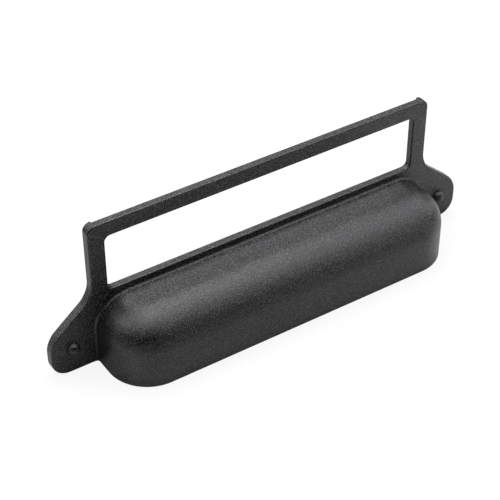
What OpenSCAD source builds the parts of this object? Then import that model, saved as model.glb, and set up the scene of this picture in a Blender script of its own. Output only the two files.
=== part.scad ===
// Cup pull with a label frame, cast in one piece and powder coated black.
// The flat back lies in the plane y = 0 and the cup points along -Y. The origin is on that
// plane, midway between the two fixing holes. Heights below are measured from the lower edge.

/* [Fixing] */
// Distance between the centres of the two fixing holes
fixing_spacing = 160; // [156:1:192]
// Height of the fixing holes above the lower edge
fixing_h = 10.4; // [9:0.1:13]
// Diameter of the blind hole, drilled for an M4 thread
fixing_hole_d = 3.3; // [2.5:0.1:3.6]
// Radius of the half ball that covers the hole in front
boss_r = 2.5; // [2.4:0.1:3.5]
// Thickness of metal left over the end of the blind hole
fixing_cap = 1.3; // [1:0.1:2]

/* [Plate] */
// Thickness of the plate
plate_t = 3.5; // [2.8:0.1:4.5]
// Rounding of the plate's front edges
edge_r = 0.5; // [0.3:0.1:1.2]
// Distance from a fixing hole to the end of its ear
ear_end = 8.3; // [7.5:0.1:12]
// How far above the fixing hole the ear's sloping top edge starts at its end
ear_rise = 4.4; // [3:0.1:7]
// Slope of the ear's top edge
ear_slope = 39.6; // [30:0.2:50]
// Rounding of the ear's upper corner
ear_top_r = 9.5; // [5:0.5:9.5]
// Rounding of the ear's lower corner
ear_bottom_r = 6.5; // [4:0.5:9.5]
// Hollow rounding between the ear and the label frame
ear_root_r = 10; // [4:0.5:14]

/* [Label frame] */
// Width of the window
window_w = 129.5; // [110:0.5:132]
// Height of the window
window_h = 22.6; // [14:0.1:40]
// Rounding of the window's corners
window_r = 3; // [1.5:0.5:5]
// Width of the bar above the window
top_bar = 6; // [5:0.1:9]
// Width of the bars beside the window
side_bar = 6.3; // [5.5:0.1:9]
// Width of the sill between the window and the top of the cup
sill = 3; // [3:0.1:6]
// Rounding of the frame's outer corners
frame_r = 3; // [2:0.5:6]
// Depth of the card recess in the back of the frame
card_depth = 0.8; // [0.3:0.1:1.2]
// How far the card recess reaches past the window at its sides
card_side = 3.2; // [2:0.1:5]
// How far the card recess reaches below the window
card_below = 2; // [1:0.1:3]

/* [Cup] */
// Width of the cup
cup_w = 141.5; // [130:0.5:144]
// Depth of the cup from the flat back to its front
cup_depth = 27.2; // [22:0.2:34]
// Height of the cup
cup_h = 26.6; // [22:0.2:34]
// Wall of the cup
cup_wall = 2.5; // [1.5:0.1:3.5]
// Radius of the front corners in plan
cup_corner_r = 16; // [15:0.5:18]
// Radius of the rounding between the cup's top and its walls
cup_top_r = 13; // [8:0.5:14]
// Hollow rounding where the cup meets the plate
root_r = 1; // [0.8:0.1:2]

/* [Hidden] */
$fn = 96;
// Steps in each rounded corner of an outline, and across a rounded edge
corner_steps = 12;
edge_steps = 5;
// How far a cut runs past the face that it opens
past = 2;
// How far a form that stands on the plate reaches into it
seat = 1;

frame_w = window_w + 2 * side_bar;
window_bottom = cup_h + sill;
frame_h = window_bottom + window_h + top_bar;
ear_x = fixing_spacing / 2 + ear_end;
ear_end_h = fixing_h + ear_rise;
ear_root_h = ear_end_h + (ear_x - frame_w / 2) * tan(ear_slope);
fixing_hole_depth = plate_t + boss_r - fixing_cap;
corner_x = cup_w / 2 - cup_corner_r;
corner_y = cup_corner_r - cup_depth;

function unit(v) = v / norm(v);
function left_of(v) = [-v[1], v[0]];
function mirrored(points) =
    [for (i = [len(points) - 1 : -1 : 0]) [-points[i][0], points[i][1], points[i][2]]];

// One rounded corner at q between the neighbours p and s, with both edges moved inwards by inset.
function rounded_corner(p, q, s, r, inset) =
    let (
        u = unit(q - p),
        w = unit(s - q),
        side = sign(u[0] * w[1] - u[1] * w[0]),
        turn = acos(u * w),
        radius = r - side * inset,
        tip = q + inset * (left_of(u) + left_of(w)) / (1 + u * w),
        start = tip - u * radius * tan(turn / 2),
        centre = start + side * radius * left_of(u),
        from = atan2(start[1] - centre[1], start[0] - centre[0])
    )
    [for (i = [0 : corner_steps])
        let (a = from + side * turn * i / corner_steps) centre + radius * [cos(a), sin(a)]];

// The outline through corners [x, height, radius], listed anticlockwise.
function rounded_outline(corners, inset) =
    let (n = len(corners), at = function (i) [corners[i % n][0], corners[i % n][1]])
    [for (i = [0 : n - 1])
        each rounded_corner(at(i + n - 1), at(i), at(i + 1), corners[i][2], inset)];

// A solid skinned through layers [y, inset] of one outline, from the back forwards.
// The outline is a right half and its mirror image, so its ends close with level strips.
module layered(half, layers) {
    corners = concat(half, mirrored(half));
    rings = [for (l = layers) [for (p = rounded_outline(corners, l[1])) [p[0], l[0], p[1]]]];
    n = len(rings[0]);
    front = n * (len(rings) - 1);
    polyhedron(
        points = [for (ring = rings) each ring],
        faces = [
            for (i = [0 : n / 2 - 2]) [i, i + 1, n - 2 - i, n - 1 - i],
            for (i = [0 : n / 2 - 2]) [front + n - 1 - i, front + n - 2 - i, front + i + 1, front + i],
            for (k = [0 : n : front - n], i = [0 : n - 1])
                [k + i, k + n + i, k + n + (i + 1) % n, k + (i + 1) % n]
        ]
    );
}

// The layers that round a front edge: sense 1 for a solid's edge, -1 for a hole's edge.
function edge_layers(sense) =
    [for (i = [0 : edge_steps])
        let (a = 90 * i / edge_steps)
        [-(plate_t - edge_r) - edge_r * sin(a), sense * edge_r * (1 - cos(a))]];

plate_half = [
    [ear_x, 0, ear_bottom_r],
    [ear_x, ear_end_h, ear_top_r],
    [frame_w / 2, ear_root_h, ear_root_r],
    [frame_w / 2, frame_h, frame_r]
];
window_half = [
    [window_w / 2, window_bottom, window_r],
    [window_w / 2, window_bottom + window_h, window_r]
];

module plate() {
    layered(plate_half, concat([[0, 0]], edge_layers(1)));
}

module window_cut() {
    layered(window_half, concat([[past, 0]], edge_layers(-1), [[-plate_t - past, -edge_r]]));
}

module card_recess() {
    w = window_w + 2 * card_side;
    translate([-w / 2, -card_depth, window_bottom - card_below])
        cube([w, card_depth + past, frame_h]);
}

// Half section of the cup from its outer wall, at the corner's radius, to the corner's axis.
// Its wall and top are moved in by inset, and its foot is lowered by drop.
module cup_section(inset, drop) {
    h = cup_h - inset;
    r = cup_top_r - inset;
    flat = cup_corner_r - cup_top_r;
    translate([0, -drop]) square([flat, h + drop]);
    translate([flat, -drop]) square([r, h - r + drop]);
    translate([flat, h - r]) intersection() {
        circle(r);
        square(r);
    }
}

// The cup as a solid form: the middle, the front, two rounded corners, and two ends that run back
// to the plane y = back.
module cup_form(inset, drop, back) {
    run = back - corner_y;
    translate([corner_x, corner_y, 0]) rotate([90, 0, -90])
        linear_extrude(2 * corner_x) cup_section(inset, drop);
    for (side = [0, 1]) mirror([side, 0, 0]) translate([corner_x, corner_y, 0]) {
        rotate([0, 0, -90]) rotate_extrude(angle = 90) cup_section(inset, drop);
        translate([0, run, 0]) rotate([90, 0, 0]) linear_extrude(run) cup_section(inset, drop);
    }
    translate([-corner_x, corner_y, -drop]) cube([2 * corner_x, run, cup_h - inset + drop]);
}

// Section of the hollow rounding: the corner square less its circle, with a foot that reaches
// into the cup's wall and into the plate.
module root_section() {
    difference() {
        translate([-seat, -seat]) square(root_r + seat);
        translate([root_r, root_r]) circle(root_r);
    }
}

// The hollow rounding at the cup's foot on the plate: up each end, round each shoulder, along the top.
module cup_root() {
    shoulder_x = cup_w / 2 - cup_top_r;
    shoulder_h = cup_h - cup_top_r;
    for (side = [0, 1]) mirror([side, 0, 0]) {
        translate([cup_w / 2, -plate_t, 0]) mirror([0, 1, 0])
            linear_extrude(shoulder_h) root_section();
        translate([shoulder_x, -plate_t, shoulder_h]) rotate([90, 0, 0])
            rotate_extrude(angle = 90) translate([cup_top_r, 0]) root_section();
    }
    translate([-shoulder_x, -plate_t, cup_h]) rotate([90, 0, 90])
        linear_extrude(2 * shoulder_x) mirror([1, 0]) root_section();
}

// A half ball over the end of the fixing hole, with a foot inside the plate.
module boss() {
    translate([fixing_spacing / 2, -plate_t, fixing_h]) rotate([90, 0, 0]) rotate_extrude() {
        intersection() {
            circle(boss_r);
            square(boss_r);
        }
        translate([0, -seat]) square([boss_r, seat]);
    }
}

module fixing_hole() {
    translate([fixing_spacing / 2, -fixing_hole_depth, fixing_h]) rotate([-90, 0, 0])
        cylinder(h = fixing_hole_depth + past, d = fixing_hole_d);
}

module handle() {
    color("#1c1c1d") translate([0, 0, -fixing_h]) difference() {
        union() {
            plate();
            cup_form(0, 0, -seat);
            cup_root();
            for (side = [0, 1]) mirror([side, 0, 0]) boss();
        }
        cup_form(cup_wall, past, past);
        window_cut();
        card_recess();
        for (side = [0, 1]) mirror([side, 0, 0]) fixing_hole();
    }
}

handle();
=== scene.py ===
import math

import bmesh
import bpy
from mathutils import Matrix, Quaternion, Vector


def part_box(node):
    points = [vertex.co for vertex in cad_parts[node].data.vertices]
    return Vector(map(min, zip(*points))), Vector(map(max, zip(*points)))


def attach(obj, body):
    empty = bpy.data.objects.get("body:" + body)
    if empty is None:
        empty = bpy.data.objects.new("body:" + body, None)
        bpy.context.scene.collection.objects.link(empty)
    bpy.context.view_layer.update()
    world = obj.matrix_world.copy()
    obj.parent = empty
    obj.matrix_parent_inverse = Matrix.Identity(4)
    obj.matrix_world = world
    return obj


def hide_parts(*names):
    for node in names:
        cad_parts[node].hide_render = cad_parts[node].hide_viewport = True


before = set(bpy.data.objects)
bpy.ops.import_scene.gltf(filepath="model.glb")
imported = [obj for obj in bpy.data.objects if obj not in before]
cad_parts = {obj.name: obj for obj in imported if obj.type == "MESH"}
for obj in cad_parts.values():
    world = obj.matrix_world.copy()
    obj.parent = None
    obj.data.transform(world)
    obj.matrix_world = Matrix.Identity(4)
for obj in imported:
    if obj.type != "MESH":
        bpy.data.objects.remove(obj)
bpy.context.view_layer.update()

# The camera stands to the left of the handle and above it, as in the photograph.
# Its place and its long lens follow from the handle's straight edges.
bpy.ops.object.select_all(action="DESELECT")
bpy.ops.object.camera_add(
    location=(-0.23685, -0.35540, 0.34818),
    rotation=(math.radians(51.282), math.radians(0.047), math.radians(-33.156)),
)
camera = bpy.context.object
camera.name = "camera"
camera.data.lens = 107.7
camera.data.sensor_width = 36
bpy.context.scene.camera = camera

# The plate is the flat back of the casting: a label frame that stands on the cup, and an ear
# at each end with a sloping top. It is cast in zinc as one piece with the cup. Heights are
# measured from its lower edge.
lower_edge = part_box("handle")[0].z
plate_thickness = 0.0035
frame_half_width = 0.07105
frame_height = 0.0582
frame_corner_radius = 0.003
ear_reach = 0.0883
ear_run = ear_reach - frame_half_width
ear_slope = 39.6
ear_end_height = 0.0148
ear_root_height = ear_end_height + ear_run * math.tan(math.radians(ear_slope))
ear_root = lower_edge + ear_root_height
ear_bottom_radius = 0.0065
ear_top_radius = 0.0095
ear_root_radius = 0.01


def pick_edges(wanted):
    """Selects the edges whose two ends and signed bend pass the test, and nothing else."""
    bpy.ops.mesh.select_mode(type="EDGE")
    bpy.ops.mesh.select_all(action="DESELECT")
    mesh = bmesh.from_edit_mesh(bpy.context.object.data)
    for edge in mesh.edges:
        a, b = (v.co for v in edge.verts)
        bend = edge.calc_face_angle_signed(0)
        if wanted(a, b, math.degrees(bend)):
            edge.select_set(True)
    bmesh.update_edit_mesh(bpy.context.object.data)


def pick_faces(wanted):
    """Selects the faces whose centre and normal pass the test, and nothing else."""
    bpy.ops.mesh.select_mode(type="FACE")
    bpy.ops.mesh.select_all(action="DESELECT")
    mesh = bmesh.from_edit_mesh(bpy.context.object.data)
    for face in mesh.faces:
        if wanted(face.calc_center_median(), face.normal):
            face.select_set(True)
    bmesh.update_edit_mesh(bpy.context.object.data)


def add_block(name, low, high):
    """Adds a cube between two corners, with its place in its mesh."""
    bpy.ops.object.select_all(action="DESELECT")
    middle = [(a + b) / 2 for a, b in zip(low, high)]
    size = [b - a for a, b in zip(low, high)]
    bpy.ops.mesh.primitive_cube_add(size=1, location=middle, scale=size)
    bpy.ops.object.transform_apply(location=True, rotation=True, scale=True)
    bpy.context.object.name = name
    return bpy.context.object


def close_to(a, b):
    return abs(a - b) < 2e-5


def along_depth(a, b):
    return close_to(a.x, b.x) and close_to(a.z, b.z)


def corner_at(half_width, height):
    """Makes the test for the two corners of the plate's outline at a width and a height."""
    return lambda a, b, bend: (along_depth(a, b) and close_to(abs(a.x), half_width)
                               and close_to(a.z, height))


def round_corners(wanted, radius, turn, steps):
    """Rounds the picked edges to a radius, for corners that turn by an angle in degrees."""
    pick_edges(wanted)
    reach = radius * math.tan(math.radians(turn / 2))
    bpy.ops.mesh.bevel(offset=reach, offset_type="OFFSET", segments=steps, profile=0.5,
                       affect="EDGES", clamp_overlap=False)


casting = add_block(
    "handle_casting",
    (-frame_half_width, -plate_thickness, lower_edge),
    (frame_half_width, 0, lower_edge + frame_height),
)
bpy.ops.object.mode_set(mode="EDIT")
bpy.ops.mesh.select_all(action="SELECT")
bpy.ops.mesh.bisect(plane_co=(0, 0, ear_root), plane_no=(0, 0, 1))
for side in (-1, 1):
    pick_faces(lambda centre, normal: normal.x * side > 0.9 and centre.z < ear_root)
    bpy.ops.mesh.extrude_region_move(TRANSFORM_OT_translate={"value": (side * ear_run, 0, 0)})
pick_edges(corner_at(ear_reach, ear_root))
bpy.ops.transform.translate(value=(0, 0, ear_end_height - ear_root_height))
bpy.ops.mesh.select_all(action="SELECT")
bpy.ops.mesh.dissolve_limited(angle_limit=math.radians(1))
for corner, radius, turn, steps in (
    (corner_at(ear_reach, lower_edge), ear_bottom_radius, 90, 16),
    (corner_at(ear_reach, lower_edge + ear_end_height), ear_top_radius, 90 - ear_slope, 12),
    (corner_at(frame_half_width, ear_root), ear_root_radius, 90 - ear_slope, 12),
    (corner_at(frame_half_width, lower_edge + frame_height), frame_corner_radius, 90, 10),
):
    round_corners(corner, radius, turn, steps)
bpy.ops.object.mode_set(mode="OBJECT")

# The window shows the label. It goes right through the plate, between the sill on the cup and
# the bars of the frame, and its corners are rounded.
window_half_width = 0.06475
window_low = lower_edge + 0.0296
window_high = lower_edge + 0.0522
window_corner_radius = 0.0023
# Each cut runs this far past the face that it opens.
past = 0.002


def settle(mesh):
    """Puts a mesh's points and faces in one fixed order, with no change to its shape."""
    points = sorted(mesh.vertices, key=lambda point: [round(c, 7) for c in point.co])
    places = {point.index: place for place, point in enumerate(points)}
    points = [point.co.copy() for point in points]
    faces = []
    for face in mesh.polygons:
        ring = [places[index] for index in face.vertices]
        first = ring.index(min(ring))
        faces.append(ring[first:] + ring[:first])
    mesh.clear_geometry()
    mesh.from_pydata(points, [], sorted(faces))


def carve(target, block, operation):
    """Joins a block to a target or cuts it away, and removes the block.

    The order of an exact boolean's points differs from run to run. It is settled each time,
    because later cuts and bevels depend on it in the last hundredth of a millimetre.
    """
    bpy.ops.object.select_all(action="DESELECT")
    target.select_set(True)
    bpy.context.view_layer.objects.active = target
    step = target.modifiers.new("carve", "BOOLEAN")
    step.operation = operation
    step.solver = "EXACT"
    step.object = block
    bpy.ops.object.modifier_apply(modifier=step.name)
    bpy.data.objects.remove(block)
    settle(target.data)


window = add_block(
    "window_block",
    (-window_half_width, -plate_thickness - past, window_low),
    (window_half_width, past, window_high),
)
bpy.ops.object.mode_set(mode="EDIT")
round_corners(lambda a, b, bend: along_depth(a, b), window_corner_radius, turn=90, steps=8)
bpy.ops.object.mode_set(mode="OBJECT")
carve(casting, window, "DIFFERENCE")

# The finger cup is a hollow shell that is open below and at the back. Its walls are straight,
# its two front corners and its top edge are well rounded, and a hollow rounding joins it to
# the plate.
cup_half_width = 0.07075
cup_depth = 0.0272
cup_top = lower_edge + 0.0266
cup_wall = 0.0025
cup_corner_radius = 0.016
cup_top_radius = 0.013
foot_radius = 0.001
# The cup reaches this far into the plate.
seat = 0.001
# While the hollow rounding is made, the cup and the plate go on this far below the lower edge,
# so that it runs straight out at both ends. Then they are trimmed level.
overrun = 0.003
overrun_half_width = 0.076
# Faces that meet at less than this many degrees count as one curved surface.
crease = 40


def cup_block(name, inset, back, bottom):
    """Adds the cup's outer form, or the same form with its walls and top moved inwards."""
    front = -cup_depth + inset
    top = cup_top - inset
    block = add_block(name, (-cup_half_width + inset, front, bottom),
                      (cup_half_width - inset, back, top))
    bpy.ops.object.mode_set(mode="EDIT")
    round_corners(lambda a, b, bend: close_to(a.y, front) and close_to(b.y, front)
                  and close_to(a.x, b.x), cup_corner_radius - inset, turn=90, steps=24)
    round_corners(lambda a, b, bend: close_to(a.z, top) and close_to(b.z, top)
                  and not (close_to(a.y, back) and close_to(b.y, back)),
                  cup_top_radius - inset, turn=90, steps=20)
    bpy.ops.object.mode_set(mode="OBJECT")
    return block


def open_merged():
    """Opens the casting for editing, with the points that lie on each other merged."""
    bpy.ops.object.mode_set(mode="EDIT")
    bpy.ops.mesh.select_mode(type="VERT")
    bpy.ops.mesh.select_all(action="SELECT")
    bpy.ops.mesh.remove_doubles(threshold=2e-6)


def on_front(a, b):
    return close_to(a.y, -plate_thickness) and close_to(b.y, -plate_thickness)


plate_run = add_block("plate_run", (-overrun_half_width, -plate_thickness, lower_edge - overrun),
                      (overrun_half_width, 0, lower_edge))
carve(casting, plate_run, "UNION")
carve(casting, cup_block("cup_block", 0, -seat, lower_edge - overrun), "UNION")
carve(casting, cup_block("cavity_block", cup_wall, past, lower_edge - 2 * overrun), "DIFFERENCE")
open_merged()
round_corners(lambda a, b, bend: on_front(a, b) and bend < -crease, foot_radius,
              turn=90, steps=6)
bpy.ops.object.mode_set(mode="OBJECT")
# The block that trims them is wider and deeper than the handle.
trimming = add_block("trimming_block", (-0.1, -0.04, lower_edge - 3 * overrun),
                     (0.1, 0.02, lower_edge))
carve(casting, trimming, "DIFFERENCE")

# A card with the label slides into the frame from above, in a shallow recess in its back. The
# recess is wider than the window and leaves a small step at the frame's two upper corners.
recess_half_width = 0.06795
recess_low = lower_edge + 0.0276
recess_depth = 0.0008

recess = add_block("recess_block", (-recess_half_width, -recess_depth, recess_low),
                   (recess_half_width, past, lower_edge + frame_height + past))
carve(casting, recess, "DIFFERENCE")

# Each ear has a blind fixing hole, drilled from the back for a machine screw. A half ball on
# the front covers its end.
fixing_x = 0.08
ball_radius = 0.0025
hole_radius = 0.00165
hole_depth = 0.0047

for side in (-1, 1):
    bpy.ops.object.select_all(action="DESELECT")
    bpy.ops.mesh.primitive_uv_sphere_add(
        radius=ball_radius, segments=40, ring_count=19,
        location=(side * fixing_x, -plate_thickness, 0), rotation=(math.radians(90), 0, 0))
    bpy.ops.object.transform_apply(location=True, rotation=True, scale=True)
    carve(casting, bpy.context.object, "UNION")
    bpy.ops.object.select_all(action="DESELECT")
    bpy.ops.mesh.primitive_cylinder_add(
        radius=hole_radius, depth=hole_depth + past, vertices=40,
        location=(side * fixing_x, (past - hole_depth) / 2, 0), rotation=(math.radians(90), 0, 0))
    bpy.ops.object.transform_apply(location=True, rotation=True, scale=True)
    carve(casting, bpy.context.object, "DIFFERENCE")

# Every edge of the casting is soft under its coat. The front edges of the plate and the window
# are the roundest, then the rim of the cup, and the edges at the back are nearly sharp.
plate_edge_radius = 0.0005
rim_radius = 0.0003
back_radius = 0.00008
back_reach = recess_depth + 0.0001


def at_back(a, b):
    return min(a.y, b.y) > -back_reach


open_merged()
for wanted, radius in (
    (lambda a, b, bend: bend > crease and at_back(a, b), back_radius),
    (lambda a, b, bend: bend > crease and on_front(a, b), plate_edge_radius),
    (lambda a, b, bend: bend > crease and not at_back(a, b) and not on_front(a, b), rim_radius),
):
    pick_edges(wanted)
    bpy.ops.transform.edge_bevelweight(value=radius / plate_edge_radius)
bpy.ops.object.mode_set(mode="OBJECT")
softening = casting.modifiers.new("soft_edges", "BEVEL")
softening.limit_method = "WEIGHT"
softening.width = plate_edge_radius
softening.segments = 5
softening.use_clamp_overlap = False
bpy.ops.object.modifier_apply(modifier=softening.name)
bpy.ops.object.shade_smooth_by_angle(angle=math.radians(35))
evening = casting.modifiers.new("even_shading", "WEIGHTED_NORMAL")
evening.keep_sharp = True
bpy.ops.object.modifier_apply(modifier=evening.name)

# The coat is a black powder that is melted on in one even layer. It sets with a fine grain,
# which breaks up the light on it, and it has paler specks of the same fineness.
grains_per_mm = 2.9
grain_height = 0.000135
specks_per_mm = 3.0
speck_contrast = 8.0
speck_start = 4.4
coat_black = (0.001, 0.001, 0.001, 1)
coat_grey = (0.053, 0.053, 0.054, 1)


class Wire:
    """One output in a material's shader. Sums and products of outputs add the Math nodes."""

    def __init__(self, tree, socket=None):
        self.tree, self.socket = tree, socket

    def node(self, kind, settings, inputs, output=0):
        """Adds a node, makes its settings, and then sets or links its inputs."""
        made = self.tree.nodes.new(kind)
        for name, value in settings.items():
            setattr(made, name, value)
        for name, value in inputs.items():
            if isinstance(value, Wire):
                self.tree.links.new(value.socket, made.inputs[name])
            else:
                made.inputs[name].default_value = value
        return Wire(self.tree, made.outputs[output] if len(made.outputs) else None)

    def maths(self, operation, a, b):
        return self.node("ShaderNodeMath", {"operation": operation}, {0: a, 1: b})

    def __add__(self, other):
        return self.maths("ADD", self, other)

    def __sub__(self, other):
        return self.maths("SUBTRACT", self, other)

    def __mul__(self, other):
        return self.maths("MULTIPLY", self, other)

    __radd__, __rmul__ = __add__, __mul__

    def __rsub__(self, other):
        return self.maths("SUBTRACT", other, self)

    def __abs__(self):
        return self.maths("ABSOLUTE", self, 0)


def new_shader(name):
    material = bpy.data.materials.new(name)
    material.use_nodes = True
    material.node_tree.nodes.clear()
    return material, Wire(material.node_tree)


coat, wire = new_shader("black_powder_coat")
place = wire.node("ShaderNodeTexCoord", {}, {}, "Object")
millimetres = wire.node("ShaderNodeMapping", {}, {"Vector": place, "Scale": (1000, 1000, 1000)})
grain = wire.node("ShaderNodeTexNoise", {}, {
    "Vector": millimetres, "Scale": grains_per_mm, "Detail": 0.0})
specks = wire.node("ShaderNodeTexNoise", {"noise_dimensions": "4D"}, {
    "Vector": millimetres, "W": 5, "Scale": specks_per_mm, "Detail": 0.0})
relief = wire.node("ShaderNodeBump", {}, {
    "Height": grain, "Strength": 1.0, "Distance": grain_height})
# Inputs 0, 6 and 7 of a colour Mix are its factor and its two colours, and output 2 its result.
shade = wire.node("ShaderNodeMix", {"data_type": "RGBA"}, {
    0: speck_contrast * specks - speck_start, 6: coat_black, 7: coat_grey}, 2)
surface = wire.node("ShaderNodeBsdfPrincipled", {}, {
    "Base Color": shade,
    "Roughness": 0.27,
    "Normal": relief,
})
wire.node("ShaderNodeOutputMaterial", {}, {"Surface": surface})
casting.data.materials.clear()
casting.data.materials.append(coat)
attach(casting, "root")
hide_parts("handle")

# The handle stands on a plain white table that has no visible edge. In reflections the table
# shows a painted pool of light: it is dimmer, and painted black a little way from the handle.
# Size and levels of the painted pool of light on the table, seen only in reflections.
pool_half_width, pool_half_depth = 1 / 5.5, 1 / 8.3
pool_light_level = 0.545
pool_light_slant, pool_light_bow = 0.7, 12.0
strip_level, strip_y = 0.30, -0.028
outer_level, outer_y = 120.0, -0.045

bpy.ops.object.select_all(action="DESELECT")
bpy.ops.mesh.primitive_plane_add(size=8, location=(0, 0, lower_edge))
table = bpy.context.object
table.name = "table"
white, wire = new_shader("white_table")
place = wire.node("ShaderNodeTexCoord", {}, {}, "Object")
across = wire.node("ShaderNodeSeparateXYZ", {}, {"Vector": place}, "X")
depth = wire.node("ShaderNodeSeparateXYZ", {}, {"Vector": place}, "Y")
edge = wire.maths("MAXIMUM", abs(across * (1 / pool_half_width)),
                  abs(depth * (1 / pool_half_depth)))
painted_light_pool = wire.node("ShaderNodeMapRange", {}, {"Value": edge, "From Min": 1.2, "From Max": 0.95})
# The painted pool of light is brighter to the right and at both ends, in a strip below the
# front of the cup, and again further in front of it.
painted_light_strip = wire.node("ShaderNodeMapRange", {}, {
    "Value": abs(depth - strip_y), "From Min": 0.010, "From Max": 0.004})
outer = wire.maths("MINIMUM", depth - outer_y, 0)
painted_light_pool = painted_light_pool * (pool_light_level + pool_light_slant * across + pool_light_bow * across * across
               + strip_level * painted_light_strip + outer_level * outer * outer)
# Inside the painted pool of light the table is pale; outside it the table is painted black, as
# painted shade.
painted_dark_matt = wire.node("ShaderNodeBsdfDiffuse", {}, {"Color": (0, 0, 0, 1)})
painted_pale_matt = wire.node("ShaderNodeBsdfDiffuse", {}, {"Color": (0.6, 0.6, 0.6, 1)})
painted_pool_shader = wire.node("ShaderNodeMixShader", {}, {0: painted_light_pool, 1: painted_dark_matt, 2: painted_pale_matt})
matt = wire.node("ShaderNodeBsdfDiffuse", {}, {"Color": (0.85, 0.85, 0.85, 1)})
glow = wire.node("ShaderNodeEmission", {}, {"Color": (1, 1, 1, 1), "Strength": 0.96})
clean = wire.node("ShaderNodeMixShader", {}, {0: 0.9, 1: matt, 2: glow})
seen = wire.node("ShaderNodeLightPath", {}, {}, "Is Camera Ray")
lit = wire.node("ShaderNodeMixShader", {}, {0: seen, 1: painted_pool_shader, 2: clean})
wire.node("ShaderNodeOutputMaterial", {}, {"Surface": lit})
table.data.materials.append(white)


# A broad soft box hangs over the handle, brightest near its middle. Three small lamps stand low
# to the right, in front and to the left, and the room beyond them is dark.
def add_lamp(name, place, aim, size, level, turn=0, colour=(1, 1, 1)):
    """Adds a flat lamp at a place, facing the aim, with the same brightness all over."""
    bpy.ops.object.select_all(action="DESELECT")
    bpy.ops.object.light_add(type="AREA", location=place)
    lamp = bpy.context.object
    lamp.name = name
    lamp.data.shape = "RECTANGLE"
    lamp.data.size, lamp.data.size_y = size
    lamp.data.energy = level * math.pi * size[0] * size[1]
    lamp.data.color = colour
    lamp.rotation_mode = "QUATERNION"
    facing = (lamp.location - Vector(aim)).to_track_quat("Z", "Y")
    lamp.rotation_quaternion = facing @ Quaternion((0, 0, 1), math.radians(turn))


handle_middle = (0, 0, 0)
small = (0.2, 0.2)
add_lamp("soft_box", (0.03, 0.22, 0.60), (0.03, 0.22, 0), size=(2.4, 1.38), level=2.45,
         turn=-21, colour=(0.97, 0.965, 1.0))
add_lamp("soft_box_bulb", (0.048, 0.125, 0.59), (0.048, 0.125, 0), size=(0.17, 0.15), level=16)
add_lamp("right_lamp", (0.90, 0.0, 0.20), handle_middle, small, level=7.4)
add_lamp("front_lamp", (0.64, -0.64, 0.20), handle_middle, small, level=7.6)
add_lamp("left_lamp", (-0.64, 0.64, 0.20), handle_middle, small, level=5.0)

# The room lights the handle only faintly. Where the camera looks past the table, it is white.
room = bpy.data.worlds.new("room")
bpy.context.scene.world = room
room.use_nodes = True
room.node_tree.nodes.clear()
wire = Wire(room.node_tree)
seen = wire.node("ShaderNodeLightPath", {}, {}, "Is Camera Ray")
dim = wire.node("ShaderNodeBackground", {}, {"Color": (1, 1, 1, 1), "Strength": 0.02})
clear = wire.node("ShaderNodeBackground", {}, {"Color": (1, 1, 1, 1), "Strength": 1.0})
both = wire.node("ShaderNodeMixShader", {}, {0: seen, 1: dim, 2: clear})
wire.node("ShaderNodeOutputWorld", {}, {"Surface": both})

bpy.context.scene.view_settings.view_transform = "Standard"
